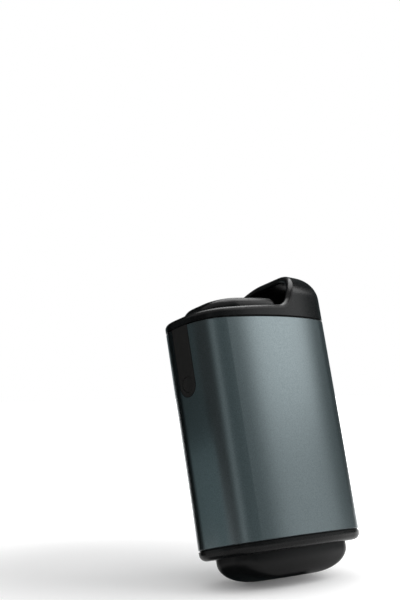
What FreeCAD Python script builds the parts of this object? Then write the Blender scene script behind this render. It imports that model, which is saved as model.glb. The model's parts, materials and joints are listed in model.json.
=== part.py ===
import FreeCAD, Part
import math
import os
from FreeCAD import Vector

# Rechargeable hand warmer, in millimetres. +Z up, X across the width with the control strip
# at -X, the front face towards -Y. The origin is the middle of the foot's underside.

# Cells
cell_diameter = 21.0
cell_length = 70.0
cell_spacing = 0.4
cell_clearance = 0.15
cell_edge_round = 0.6

# Sleeve and its outline
sleeve_wall = 1.6
bow_radius = 85.0
end_radius = 220.0
corner_radius = 11.8
edge_break = 0.3
loft_steps = 6
gasket_thickness = 0.4
gasket_reveal = 0.5
fit_gap = 0.2
contact_gap = 0.1

# Electronics bay behind the control strip
strip_width = 8.2
strip_length = 23.8
strip_gap = 0.2
strip_flange = 1.2
strip_flange_margin = 2.2
switch_space = 3.1
board_thickness = 1.2
component_height = 5.7
component_clearance = 0.8

# Stack from a cell to the sleeve's broad faces
carrier_wall = 1.55
pad_thickness = 2.5
heater_thickness = 0.8

# Stack at the cells' two ends
insulator_thickness = 0.5
bus_bar_thickness = 0.3
head_room = 1.3
deck_drop = 1.2

# Base ring and foot
ring_height = 3.6
ring_round = 2.4
spigot_height = 5.0
skirt_height = 4.2
skirt_wall = 1.8
cell_to_skirt = 0.3
foot_height = 9.0
foot_inset = 5.4
foot_round_x = 15.0
foot_round_y = 5.0
foot_round_z = 7.6
foot_flat_corner = 6.0
key_height = 2.5
key_inset = 8.4

# Top cap: lip, deck and carry arch
lip_height = 3.2
lip_rise = 1.45
lip_wall = 2.6
lip_round_outer = 1.7
lip_round_inner = 0.8
deck_thickness = 2.0
arch_height = 18.0
arch_round_z = 10.0
arch_top_corner = 0.6
arch_reach = 24.72
rim_angle = 63.4
rim_fillet = 6.0
rim_bow = 31.0
window_width = 17.0
window_height = 9.0
window_sill = 0.8
window_corner = 3.0

# Port cover and its hinge
cover_gap = 0.5
cover_rise = 4.8
cover_drop = 0.4
cover_plate = 2.0
cover_skirt_wall = 1.5
island_corner = 10.5
tab_reach = 4.9
tab_drop = 0.3
barrel_radius = 3.4
barrel_step = 0.2
pin_setback = 4.68
pin_diameter = 1.8
pin_length = 25.0
pin_clearance = 0.05
ear_offset = 8.5
ear_thickness = 2.0
ear_radius = 2.2
ear_gap = 0.3
seal_length = 15.0
seal_width = 7.4
seal_wall = 1.4
seal_height = 1.1

# Button and switch
button_diameter = 5.0
button_gap = 0.15
button_recess = 0.1
button_travel = 0.4
button_flange = 7.0
button_flange_thickness = 0.6
dish_diameter = 4.2
dish_depth = 0.25
switch_size = 6.0
switch_height = 1.5
plunger_diameter = 1.8
plunger_proud = 0.5
plunger_gap = 0.3

# Board, socket and small components
board_width = 22.2
board_margin = 0.3
socket_width = 8.94
socket_height = 3.26
socket_length = 9.0
socket_wall = 0.3
tongue_width = 6.7
tongue_height = 0.7
inductor_size = 7.0
inductor_height = 4.5
chip_size = 5.0
chip_height = 1.0
capacitor_diameter = 4.0
capacitor_height = 3.5
led_count = 4
led_pitch = 2.5
led_length = 1.6
led_width = 0.8
led_height = 0.7
guide_width = 3.0
guide_margin = 0.8
thermistor_diameter = 2.0
thermistor_length = 4.0

# Heaters, pads and straps
heater_width = 32.0
heater_margin = 7.0
pad_width = 27.0
pad_margin = 2.0
bus_bar_width = 8.0
bus_bar_overhang = 2.5

# Screws and wires
screw_diameter = 2.0
screw_hole_gap = 0.05
head_diameter = 3.6
head_height = 1.4
screw_bite = 6.0
base_screw_wall = 0.4
cap_screw_wall = 0.2
cap_screw_edge = 2.3
carrier_side_wall = 1.7
carrier_drop = 0.95
post_diameter = 5.0
post_y = 8.0
post_margin = 8.0
lead_diameter = 1.4
lead_bend = 3.0
heater_lead_diameter = 1.0
heater_lead_clearance = 1.0

X = Vector(1, 0, 0)
Y = Vector(0, 1, 0)
Z = Vector(0, 0, 1)

# Outer size, from the pieces that it has to hold
body_width = (
    2 * sleeve_wall + contact_gap + strip_flange + switch_space + board_thickness
    + component_height + component_clearance + 2 * cell_diameter + cell_spacing
    + cell_to_skirt + skirt_wall + fit_gap
)
body_depth = cell_diameter + 2 * (
    cell_clearance + carrier_wall + pad_thickness + contact_gap + heater_thickness
    + fit_gap + sleeve_wall
)
sleeve_length = (
    2 * (insulator_thickness + bus_bar_thickness) + cell_length + head_room + deck_drop
)

# Heights
ring_low = foot_height
seam_low = ring_low + ring_height
plate_top = seam_low
seam_top = seam_low + sleeve_length
cap_low = seam_top + gasket_thickness
deck_low = seam_top - deck_drop
pan_floor = deck_low + deck_thickness
lip_top = seam_top + lip_height
arch_top = seam_top + arch_height
arch_shoulder = arch_top - arch_round_z
cell_low = plate_top + insulator_thickness + bus_bar_thickness
cell_top = cell_low + cell_length
skirt_low = seam_top - skirt_height
carrier_top = cell_top - carrier_drop

# Places across the width
left_x = -body_width / 2
strip_back = left_x + sleeve_wall + contact_gap + strip_flange
board_front = strip_back + switch_space
board_back = board_front + board_thickness
bay_end = board_back + component_height + component_clearance
cell_left_x = bay_end + cell_diameter / 2
cell_right_x = cell_left_x + cell_diameter + cell_spacing
cell_middle_x = (cell_left_x + cell_right_x) / 2
carrier_face_y = cell_diameter / 2 + cell_clearance + carrier_wall
bore_radius = cell_diameter / 2 + cell_clearance
cap_screw_y = carrier_face_y - cap_screw_edge
cap_screw_away = bore_radius + cap_screw_wall + screw_diameter / 2
cap_screw_x = cell_left_x - math.sqrt(cap_screw_away ** 2 - cap_screw_y ** 2)
base_screw_away = bore_radius + base_screw_wall + screw_diameter / 2
base_screw_y = math.sqrt(base_screw_away ** 2 - (cell_middle_x - cell_left_x) ** 2)
carrier_left = cap_screw_x - carrier_side_wall

# Strip, hinge and socket places
button_z = seam_top - strip_length + strip_width / 2
rim_foot_x = body_width / 2 - arch_reach
pin_x = rim_foot_x - pin_setback
cover_top = lip_top + cover_rise
cover_round = barrel_radius - barrel_step
pin_z = cover_top - barrel_radius
cover_low = pan_floor + contact_gap
cover_inset = lip_wall + cover_gap
tab_top = lip_top - tab_drop
seal_top = cover_low + seal_height
socket_x = board_back + socket_height / 2
lead_x = bay_end - lead_diameter / 2 - contact_gap


def corner_centre(width, depth, corner):
    """Centre of the corner arc that runs smoothly from the bowed face into the end."""
    face = Vector(0, bow_radius - depth / 2, 0)
    end = Vector(width / 2 - end_radius, 0, 0)
    to_face = bow_radius - corner
    to_end = end_radius - corner
    span = end - face
    along = (to_face ** 2 - to_end ** 2 + span.Length ** 2) / (2 * span.Length)
    across = math.sqrt(to_face ** 2 - along ** 2)
    unit = Vector(span).normalize()
    side = Vector(unit.y, -unit.x, 0)
    first = face + unit * along + side * across
    second = face + unit * along - side * across
    return max((first, second), key=lambda point: point.x), face, end


def section(z, inset=0.0, width=body_width, depth=body_depth, corner=corner_radius):
    """Closed outline of the body at a height, moved inward by an even inset."""
    centre, face, end = corner_centre(width, depth, corner)
    from_face = Vector(centre - face).normalize()
    from_end = Vector(centre - end).normalize()
    on_face = face + from_face * (bow_radius - inset)
    on_end = end + from_end * (end_radius - inset)
    on_corner = centre + Vector(from_face + from_end).normalize() * (corner - inset)
    half_depth = depth / 2 - inset
    half_width = width / 2 - inset

    def arc(first, middle, last):
        points = [Vector(sx * p.x, sy * p.y, z) for p, sx, sy in (first, middle, last)]
        return Part.Arc(*points).toShape()

    front = Vector(0, -half_depth, 0)
    side = Vector(half_width, 0, 0)
    edges = [
        arc((on_face, -1, 1), (front, 1, 1), (on_face, 1, 1)),
        arc((on_face, 1, 1), (on_corner, 1, 1), (on_end, 1, 1)),
        arc((on_end, 1, 1), (side, 1, 1), (on_end, 1, -1)),
        arc((on_end, 1, -1), (on_corner, 1, -1), (on_face, 1, -1)),
        arc((on_face, 1, -1), (front, 1, -1), (on_face, -1, -1)),
        arc((on_face, -1, -1), (on_corner, -1, -1), (on_end, -1, -1)),
        arc((on_end, -1, -1), (side, -1, 1), (on_end, -1, 1)),
        arc((on_end, -1, 1), (on_corner, -1, 1), (on_face, -1, 1)),
    ]
    return Part.Wire(edges)


def prism(low, high, inset=0.0):
    """The body's outline, inset, between two heights."""
    return Part.Face(section(low, inset)).extrude(Z * (high - low))


def band(low, high, outer, inner):
    """Wall between two insets of the body's outline."""
    return prism(low, high, outer).cut(prism(low, high, inner))


def block(x_range, y_range, z_range):
    size = [high - low for low, high in (x_range, y_range, z_range)]
    return Part.makeBox(*size, Vector(x_range[0], y_range[0], z_range[0]))


def rod(start, along, diameter, length):
    return Part.makeCylinder(diameter / 2, length, start, along)


def slot_prism(centre_x, width, length, low, high):
    """Upright solid with round ends, long along Y."""
    straight = (length - width) / 2
    solid = block((centre_x - width / 2, centre_x + width / 2), (-straight, straight), (low, high))
    for side in (-1, 1):
        solid = solid.fuse(rod(Vector(centre_x, side * straight, low), Z, width, high - low))
    return solid.removeSplitter()


def right_of(x, z_range):
    return block((x, body_width), (-body_depth, body_depth), z_range)


def strip_outline(grow, top):
    """Tall shape with a round lower end, through the sleeve's left end."""
    radius = strip_width / 2 + grow
    upright = block((2 * left_x, 0), (-radius, radius), (button_z, top))
    return upright.fuse(rod(Vector(2 * left_x, 0, button_z), X, 2 * radius, -2 * left_x))


def screw(head_seat, along, bite):
    """Pan head screw: the head's underside is at head_seat and the shank runs along."""
    head = rod(head_seat - along * head_height, along, head_diameter, head_height)
    return head.fuse(rod(head_seat, along, screw_diameter, bite)).removeSplitter()


def screw_hole(start, along, length):
    return rod(start, along, screw_diameter + 2 * screw_hole_gap, length)


def wire_tube(points, diameter, bend):
    """Round wire along straight runs with tangent bends at the inner points."""
    edges = []
    start = points[0]
    for before, corner, after in zip(points, points[1:], points[2:]):
        back = Vector(before - corner).normalize()
        ahead = Vector(after - corner).normalize()
        half_turn = back.getAngle(ahead) / 2
        trim = bend / math.tan(half_turn)
        arc_start = corner + back * trim
        arc_end = corner + ahead * trim
        bisector = Vector(back + ahead).normalize()
        middle = corner + bisector * (bend / math.sin(half_turn) - bend)
        edges.append(Part.LineSegment(start, arc_start).toShape())
        edges.append(Part.Arc(arc_start, middle, arc_end).toShape())
        start = arc_end
    edges.append(Part.LineSegment(start, points[-1]).toShape())
    path = Part.Wire(edges)
    heading = Vector(points[1] - points[0]).normalize()
    ring = Part.Wire(Part.makeCircle(diameter / 2, points[0], heading))
    return path.makePipeShell([ring], True, False)


def edges_at(shape, height, keep):
    """Level edges at a height whose middle point passes the test."""
    found = []
    for edge in shape.Edges:
        box = edge.BoundBox
        if abs(box.ZMin - height) < 1e-4 and abs(box.ZMax - height) < 1e-4:
            if keep(edge.valueAt((edge.FirstParameter + edge.LastParameter) / 2)):
                found.append(edge)
    return found


def on_wire(wire):
    """Test for a point that lies on an outline drawn at height zero, seen from above."""
    def test(point):
        flat = Part.Vertex(Vector(point.x, point.y, 0))
        return flat.distToShape(wire)[0] < 1e-3

    return test


def heat_sleeve():
    shell = band(seam_low, seam_top, 0, sleeve_wall)
    rims = edges_at(shell, seam_low, on_wire(section(0))) + edges_at(shell, seam_top, on_wire(section(0)))
    shell = shell.makeChamfer(edge_break, rims)
    return shell.cut(strip_outline(strip_gap, seam_top + edge_break))


def gasket(low, high):
    return band(low, high, gasket_reveal, sleeve_wall)


def bumper_foot():
    """Soft foot: an elliptic lower edge, wider along X than along Y, round a flat underside."""
    wide = body_width - 2 * foot_inset
    deep = body_depth - 2 * foot_inset
    corner = corner_radius - foot_inset
    outlines = []
    for step in range(loft_steps + 1):
        angle = math.pi / 2 * step / loft_steps
        swell = math.sin(angle)
        outlines.append(section(
            foot_round_z * (1 - math.cos(angle)),
            width=wide - 2 * foot_round_x * (1 - swell),
            depth=deep - 2 * foot_round_y * (1 - swell),
            corner=foot_flat_corner + (corner - foot_flat_corner) * swell,
        ))
    dome = Part.makeLoft(outlines, True, False)
    collar = Part.Face(section(foot_round_z, width=wide, depth=deep, corner=corner))
    solid = dome.fuse(collar.extrude(Z * (foot_height - foot_round_z)))
    pocket = prism(ring_low - key_height - contact_gap, ring_low, key_inset - contact_gap)
    return solid.cut(pocket)


def base_ring():
    plate_high = seam_low - gasket_thickness
    plate = prism(ring_low, plate_high)
    plate = plate.makeFillet(ring_round, edges_at(plate, ring_low, on_wire(section(0))))
    solid = plate.fuse(prism(plate_high, plate_top, sleeve_wall + contact_gap))
    spigot_inset = sleeve_wall + fit_gap
    solid = solid.fuse(band(
        plate_top, plate_top + spigot_height, spigot_inset, spigot_inset + skirt_wall))
    solid = solid.fuse(prism(ring_low - key_height, ring_low, key_inset))
    for side in (-1, 1):
        seat = base_screw_seat(side)
        solid = solid.cut(screw_hole(seat, Z, ring_height + key_height))
        solid = solid.cut(rod(seat, -Z, head_diameter + 2 * contact_gap, key_height + ring_height))
    return solid.removeSplitter()


def base_screw_seat(side):
    return Vector(cell_middle_x, side * base_screw_y, ring_low + contact_gap)


def base_screws():
    bite = plate_top - ring_low + screw_bite
    return [screw(base_screw_seat(side), Z, bite) for side in (-1, 1)]


def cap_screw_seat(side):
    return Vector(cap_screw_x, side * cap_screw_y, pan_floor)


def cap_screws():
    bite = pan_floor - carrier_top + screw_bite
    return [screw(cap_screw_seat(side), -Z, bite) for side in (-1, 1)]


def loaf(base_z, shoulder_z, top_z, first_inset, last_inset):
    """The body's outline carried up and drawn in over the top on a quarter ellipse."""
    outlines = []
    for step in range(loft_steps + 1):
        angle = math.pi / 2 * step / loft_steps
        inset = first_inset + (last_inset - first_inset) * (1 - math.cos(angle))
        outlines.append(section(shoulder_z + (top_z - shoulder_z) * math.sin(angle), inset))
    crown = Part.makeLoft(outlines, True, False)
    return prism(base_z, shoulder_z, first_inset).fuse(crown)


def rim_profile():
    """Side view of what is open above the lip and in front of the arch, as a wire in XZ."""
    angle = math.radians(rim_angle)
    slope = math.atan2(lip_rise, rim_foot_x - left_x)

    def along(turn):
        return Vector(math.cos(turn), 0, math.sin(turn))

    def square_to(turn):
        return Vector(math.sin(turn), 0, -math.cos(turn))

    rim_foot = Vector(rim_foot_x, 0, lip_top + lip_rise)
    bend_start = rim_foot - along(slope) * rim_fillet * math.tan((angle - slope) / 2)
    bend_centre = bend_start - square_to(slope) * rim_fillet
    bend_middle = bend_centre + square_to((angle + slope) / 2) * rim_fillet
    bend_end = bend_centre + square_to(angle) * rim_fillet
    bow_centre = bend_end + square_to(angle) * rim_bow
    bow_middle = bow_centre - square_to(angle / 2) * rim_bow
    bow_end = bow_centre - square_to(0) * rim_bow
    outer_low = rim_foot - along(slope) * body_width
    outer_high = Vector(outer_low.x, 0, bow_end.z)
    return Part.Wire([
        Part.LineSegment(outer_low, bend_start).toShape(),
        Part.Arc(bend_start, bend_middle, bend_end).toShape(),
        Part.Arc(bend_end, bow_middle, bow_end).toShape(),
        Part.LineSegment(bow_end, outer_high).toShape(),
        Part.LineSegment(outer_high, outer_low).toShape(),
    ])


def rim_edges(shape, outer):
    """Edges of the rim face, on its outer or its inner side."""
    profile = rim_profile()
    shell = loaf(cap_low, arch_shoulder, arch_top, 0, corner_radius - arch_top_corner)
    skin = shell.Shells[0]
    found = []
    for edge in shape.Edges:
        samples = [edge.valueAt(
            edge.FirstParameter + (edge.LastParameter - edge.FirstParameter) * share)
            for share in (0.15, 0.5, 0.85)]
        flat = [Part.Vertex(Vector(p.x, 0, p.z)) for p in samples]
        if max(v.distToShape(profile)[0] for v in flat) > 1e-3:
            continue
        away = max(Part.Vertex(p).distToShape(skin)[0] for p in samples)
        if (away < lip_wall / 4) == outer:
            found.append(edge)
    return found


def hinge_ear(side):
    y_low = side * ear_offset - ear_thickness / 2
    post = block((pin_x - ear_radius, pin_x + ear_radius),
                 (y_low, y_low + ear_thickness), (deck_low, pin_z))
    return post.fuse(rod(Vector(pin_x, y_low, pin_z), Y, 2 * ear_radius, ear_thickness))


def pin_hole(gap):
    start = Vector(pin_x, -pin_length / 2 - contact_gap, pin_z)
    return rod(start, Y, pin_diameter + 2 * gap, pin_length + 2 * contact_gap)


def strap_window():
    """Rounded opening through the arch's right end."""
    low = pan_floor + window_sill
    straight_y = window_width / 2 - window_corner
    reach = (body_width / 4, body_width)
    solid = block(reach, (-straight_y, straight_y), (low, low + window_height))
    solid = solid.fuse(block(reach, (-window_width / 2, window_width / 2),
                             (low + window_corner, low + window_height - window_corner)))
    for side in (-1, 1):
        for z in (low + window_corner, low + window_height - window_corner):
            start = Vector(reach[0], side * straight_y, z)
            solid = solid.fuse(rod(start, X, 2 * window_corner, reach[1] - reach[0]))
    return solid.removeSplitter()


def top_cap():
    last_inset = corner_radius - arch_top_corner
    outer = loaf(cap_low, arch_shoulder, arch_top, 0, last_inset)
    inner = loaf(pan_floor, arch_shoulder, arch_top - lip_wall, lip_wall, last_inset)
    opening = Part.Face(rim_profile()).extrude(Y * (2 * body_depth))
    opening.translate(Y * -body_depth)
    shell = outer.removeSplitter().cut(opening).cut(inner.removeSplitter())
    shell = shell.makeFillet(lip_round_outer, rim_edges(shell, True))
    shell = shell.makeFillet(lip_round_inner, rim_edges(shell, False))
    shell = shell.cut(strap_window())
    plug_inset = sleeve_wall + fit_gap
    solid = shell.fuse(prism(deck_low, cap_low, plug_inset))
    skirt = band(skirt_low, deck_low, plug_inset, plug_inset + skirt_wall)
    solid = solid.fuse(skirt.common(right_of(bay_end, (skirt_low, deck_low))))
    for side in (-1, 1):
        solid = solid.fuse(hinge_ear(side))
        seat = cap_screw_seat(side)
        boss = rod(Vector(seat.x, seat.y, carrier_top), Z, head_diameter, deck_low - carrier_top)
        boss = boss.cut(rod(Vector(cell_left_x, 0, carrier_top), Z, 2 * bore_radius, cell_length))
        solid = solid.fuse(boss).cut(screw_hole(seat, -Z, pan_floor - carrier_top))
    solid = solid.cut(pin_hole(screw_hole_gap))
    well = slot_prism(socket_x, socket_height + 2 * contact_gap, socket_width + 2 * contact_gap,
                      deck_low, pan_floor)
    return solid.cut(well).removeSplitter()


def cover_profile():
    """Side view of the port cover: a crowned top that runs into the hinge barrel."""
    reach = pin_x - left_x
    crown_radius = (reach ** 2 + cover_drop ** 2) / (2 * cover_drop)
    half = math.asin(reach / crown_radius) / 2
    centre = Vector(pin_x, 0, cover_top - crown_radius)
    top = Vector(pin_x, 0, cover_top)
    crown_middle = centre + Vector(-math.sin(half), 0, math.cos(half)) * crown_radius
    crown_end = centre + Vector(-math.sin(2 * half), 0, math.cos(2 * half)) * crown_radius
    barrel_low = Vector(pin_x, 0, pin_z - barrel_radius)
    corner = Vector(pin_x, 0, cover_low)
    far = Vector(left_x, 0, cover_low)
    face = Part.Face(Part.Wire([
        Part.Arc(crown_end, crown_middle, top).toShape(),
        Part.Arc(top, Vector(pin_x + barrel_radius, 0, pin_z), barrel_low).toShape(),
        Part.LineSegment(barrel_low, corner).toShape(),
        Part.LineSegment(corner, far).toShape(),
        Part.LineSegment(far, crown_end).toShape(),
    ]))
    solid = face.extrude(Y * (2 * body_depth))
    solid.translate(Y * -body_depth)
    return solid


def island_outline(z, wall=0.0):
    """The cover's raised part: its broad faces are the cover's own, its left end is short and round."""
    return section(z, cover_inset + wall, width=body_width - 2 * tab_reach,
                   corner=island_corner + cover_inset)


def island(low, high, wall=0.0):
    return Part.Face(island_outline(low, wall)).extrude(Z * (high - low))


def port_cover():
    """Raised island that runs into the hinge barrel, with a low plate and lift tab round its foot."""
    side_view = cover_profile()
    solid = island(cover_low, cover_top).common(side_view)
    crown = cover_top - cover_drop - contact_gap
    on_island = on_wire(island_outline(0))
    rims = [edge for edge in solid.Edges if edge.BoundBox.ZMin > crown
            and edge.BoundBox.XMin < pin_x - contact_gap
            and on_island(edge.valueAt((edge.FirstParameter + edge.LastParameter) / 2))]
    solid = solid.makeFillet(cover_round, rims)
    solid = solid.fuse(prism(cover_low, tab_top, cover_inset).common(side_view))
    hollow_x = (socket_x + seal_width / 2 + cover_skirt_wall,
                pin_x - barrel_radius - cover_skirt_wall)
    solid = solid.cut(island(cover_low, cover_top, cover_skirt_wall).common(
        block(hollow_x, (-body_depth, body_depth), (cover_low, cover_top - cover_plate))))
    solid = solid.cut(slot_prism(socket_x, seal_width + 2 * contact_gap,
                                 seal_length + 2 * contact_gap, cover_low, seal_top))
    for side in (-1, 1):
        y_low = side * ear_offset - ear_thickness / 2 - ear_gap
        solid = solid.cut(block(
            (pin_x - ear_radius - ear_gap, body_width), (y_low, y_low + ear_thickness + 2 * ear_gap),
            (cover_low, cover_top)))
    return solid.cut(pin_hole(pin_clearance)).removeSplitter()


def cover_seal():
    outer = slot_prism(socket_x, seal_width, seal_length, cover_low, seal_top)
    return outer.cut(slot_prism(socket_x, seal_width - 2 * seal_wall,
                                seal_length - 2 * seal_wall, cover_low, seal_top))


def hinge_pin():
    return rod(Vector(pin_x, -pin_length / 2, pin_z), Y, pin_diameter, pin_length)


def control_strip():
    back_inset = sleeve_wall + contact_gap
    low = button_z - strip_width / 2 - strip_flange_margin
    face = band(low, seam_top, 0, back_inset).common(strip_outline(0, seam_top))
    half = strip_width / 2 + strip_flange_margin
    flange_high = skirt_low - contact_gap
    flange = band(low, flange_high, back_inset, back_inset + strip_flange).common(
        block((left_x, 0), (-half, half), (low, flange_high)))
    solid = face.fuse(flange)
    hole = rod(Vector(2 * left_x, 0, button_z), X, button_diameter + 2 * button_gap, body_width)
    return solid.cut(hole).removeSplitter()


def power_button():
    flange_x = strip_back + contact_gap
    stem_x = flange_x + button_flange_thickness
    plunger_tip = board_front - switch_height - plunger_proud
    shaft = rod(Vector(left_x, 0, button_z), X, button_diameter, flange_x - left_x)
    face = prism(button_z - button_flange, button_z + button_flange, button_recess)
    solid = shaft.common(face)
    solid = solid.fuse(rod(Vector(flange_x, 0, button_z), X, button_flange, button_flange_thickness))
    solid = solid.fuse(rod(Vector(stem_x, 0, button_z), X, plunger_diameter, plunger_tip - stem_x))
    dish_radius = (dish_diameter ** 2 / 4 + dish_depth ** 2) / (2 * dish_depth)
    dish_x = left_x + button_recess + dish_depth - dish_radius
    return solid.cut(Part.makeSphere(dish_radius, Vector(dish_x, 0, button_z))).removeSplitter()


def switch_plunger():
    start = board_front - switch_height - plunger_proud
    return rod(Vector(start, 0, button_z), X, plunger_diameter, 2 * plunger_proud)


def tact_switch():
    half = switch_size / 2
    body = block((board_front - switch_height, board_front), (-half, half),
                 (button_z - half, button_z + half))
    depth = plunger_proud + 2 * button_travel
    start = Vector(board_front - switch_height, 0, button_z)
    return body.cut(rod(start, X, plunger_diameter + 2 * plunger_gap, depth - contact_gap))


def led_heights():
    first = button_z + switch_size / 2 + guide_margin + led_length
    return [first + led_pitch * index for index in range(led_count)]


def indicator_leds():
    return [block((board_front - led_height, board_front), (-led_width / 2, led_width / 2),
                  (z - led_length / 2, z + led_length / 2)) for z in led_heights()]


def light_guide():
    heights = led_heights()
    reach = (strip_back + contact_gap, board_front - led_height - contact_gap)
    return block(reach, (-guide_width / 2, guide_width / 2),
                 (heights[0] - led_length / 2 - guide_margin / 2,
                  heights[-1] + led_length / 2 + guide_margin / 2))


def cell(x):
    can = rod(Vector(x, 0, cell_low), Z, cell_diameter, cell_length)
    rims = [edge for edge in can.Edges if edge.BoundBox.ZLength < contact_gap]
    return can.makeFillet(cell_edge_round, rims)


def cell_insulators():
    discs = []
    for x in (cell_left_x, cell_right_x):
        for z in (plate_top, cell_top + bus_bar_thickness):
            discs.append(rod(Vector(x, 0, z), Z, cell_diameter - 2 * cell_edge_round,
                             insulator_thickness))
    return discs


def bus_bar(low):
    tab_x = lead_x - lead_diameter / 2
    return block((tab_x, cell_right_x + bus_bar_overhang),
                 (-bus_bar_width / 2, bus_bar_width / 2), (low, low + bus_bar_thickness))


def post_places():
    low = plate_top + spigot_height + post_margin
    return low, button_z - post_margin


def carrier(side):
    """Half of the moulding that holds the cells; side is -1 for the front, 1 for the back."""
    inset = sleeve_wall + fit_gap + skirt_wall + contact_gap
    y_range = sorted((0, side * carrier_face_y))
    solid = prism(plate_top, carrier_top, inset).common(
        block((carrier_left, body_width), y_range, (plate_top, carrier_top)))
    for z in post_places():
        start = Vector(board_back, side * post_y, z)
        solid = solid.fuse(rod(start, X, post_diameter, carrier_left - board_back + contact_gap))
    for x in (cell_left_x, cell_right_x):
        solid = solid.cut(rod(Vector(x, 0, plate_top), Z, 2 * bore_radius, cell_length))
    notch = bus_bar_width / 2 + fit_gap
    solid = solid.cut(block((cell_left_x, cell_right_x), (-notch, notch),
                            (plate_top, cell_low + fit_gap)))
    for z in post_places():
        solid = solid.cut(screw_hole(Vector(board_back, side * post_y, z), X, screw_bite))
    solid = solid.cut(screw_hole(
        Vector(cap_screw_x, side * cap_screw_y, carrier_top), -Z, screw_bite))
    solid = solid.cut(screw_hole(
        Vector(cell_middle_x, side * base_screw_y, plate_top), Z, screw_bite + contact_gap))
    return solid.removeSplitter()


def heater(side):
    outer = sleeve_wall + fit_gap
    low = plate_top + spigot_height + heater_margin
    high = skirt_low - heater_margin
    half = heater_width / 2
    y_range = sorted((side * body_depth / 4, side * body_depth))
    return band(low, high, outer, outer + heater_thickness).common(
        block((-half, half), y_range, (low, high)))


def thermistor_centre():
    return Vector(0, -carrier_face_y - pad_thickness / 2, (seam_low + seam_top) / 2)


def pad(side):
    inset = sleeve_wall + fit_gap + heater_thickness + contact_gap
    low = plate_top + spigot_height + heater_margin + pad_margin
    high = skirt_low - heater_margin - pad_margin
    half = pad_width / 2
    y_range = sorted((side * carrier_face_y, side * body_depth))
    solid = prism(low, high, inset).common(block((-half, half), y_range, (low, high)))
    if side < 0:
        place = thermistor_centre()
        reach = thermistor_diameter / 2 + contact_gap
        half_length = thermistor_length / 2 + contact_gap
        solid = solid.cut(block((place.x - reach, place.x + reach), (-body_depth, 0),
                                (place.z - half_length, place.z + half_length)))
    return solid


def thermistor():
    place = thermistor_centre()
    return rod(place - Z * (thermistor_length / 2), Z, thermistor_diameter, thermistor_length)


def main_board():
    half = board_width / 2
    low = plate_top + spigot_height + board_margin
    solid = block((board_front, board_back), (-half, half), (low, skirt_low - board_margin))
    for side in (-1, 1):
        for z in post_places():
            solid = solid.cut(screw_hole(Vector(board_front, side * post_y, z), X, board_thickness))
    return solid


def board_screws():
    return [screw(Vector(board_front, side * post_y, z), X, screw_bite)
            for side in (-1, 1) for z in post_places()]


def usb_c_port():
    high = pan_floor - contact_gap
    low = high - socket_length
    shell = slot_prism(socket_x, socket_height, socket_width, low, high)
    floor_z = low + 2 * socket_wall
    bore = slot_prism(socket_x, socket_height - 2 * socket_wall, socket_width - 2 * socket_wall,
                      floor_z, high)
    tongue = block((socket_x - tongue_height / 2, socket_x + tongue_height / 2),
                   (-tongue_width / 2, tongue_width / 2), (low, high - 2 * socket_wall))
    return shell.cut(bore).fuse(tongue).removeSplitter()


def board_middle():
    low, high = post_places()
    return (low + high) / 2


def power_inductor():
    middle = board_middle()
    half = inductor_size / 2
    solid = block((board_back, board_back + inductor_height), (-half, half),
                  (middle - half, middle + half))
    upright = [edge for edge in solid.Edges if edge.BoundBox.XLength > contact_gap]
    return solid.makeChamfer(cell_edge_round, upright)


def chip_offset():
    return inductor_size + chip_size


def control_chips():
    half = chip_size / 2
    heights = [board_middle() + side * chip_offset() for side in (-1, 1)]
    return [block((board_back, board_back + chip_height), (-half, half), (z - half, z + half))
            for z in heights]


def capacitors():
    reach = inductor_size / 2 + capacitor_diameter
    return [rod(Vector(board_back, side * reach, board_middle()), X, capacitor_diameter,
                capacitor_height) for side in (-1, 1)]


def battery_leads():
    """One lead from each strap's tab, along the bay, then to the board between chip and inductor."""
    landing = (inductor_size / 2 + chip_offset() - chip_size / 2) / 2
    leads = []
    for side, face_z in ((1, cell_top), (-1, cell_low)):
        y = side * bus_bar_width / 4
        board_z = board_middle() + side * landing
        leads.append(wire_tube([
            Vector(lead_x, y, face_z), Vector(lead_x, y, board_z), Vector(board_back, y, board_z)],
            lead_diameter, lead_bend))
    return leads


def heater_leads():
    """Two leads from each heater's left edge to the board, one each side of a capacitor."""
    inset = sleeve_wall + fit_gap + heater_thickness
    sag = bow_radius - math.sqrt(bow_radius ** 2 - heater_width ** 2 / 4)
    spread = (capacitor_diameter + heater_lead_diameter) / 2 + heater_lead_clearance
    leads = []
    for side in (-1, 1):
        for place in (-1, 1):
            z = board_middle() + place * spread
            start = Vector(-heater_width / 2, side * (body_depth / 2 - inset - sag), z)
            finish = Vector(board_back, side * post_y, z)
            leads.append(wire_tube([
                start, start - X * heater_lead_diameter,
                finish + X * heater_lead_diameter, finish],
                heater_lead_diameter, heater_lead_diameter))
    return leads


def export(name, shapes):
    solids = shapes if isinstance(shapes, list) else [shapes]
    solids = [solid for shape in solids for solid in shape.Solids]
    whole = Part.makeCompound(solids) if len(solids) > 1 else solids[0]
    whole.exportStep(os.path.join("parts", name + ".step"))
    box = whole.BoundBox
    print("%-18s %2d solid(s) %9.1f mm3 valid %s  x %.2f %.2f  y %.2f %.2f  z %.2f %.2f" % (
        name, len(solids), whole.Volume, whole.isValid(), box.XMin, box.XMax,
        box.YMin, box.YMax, box.ZMin, box.ZMax))


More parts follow.
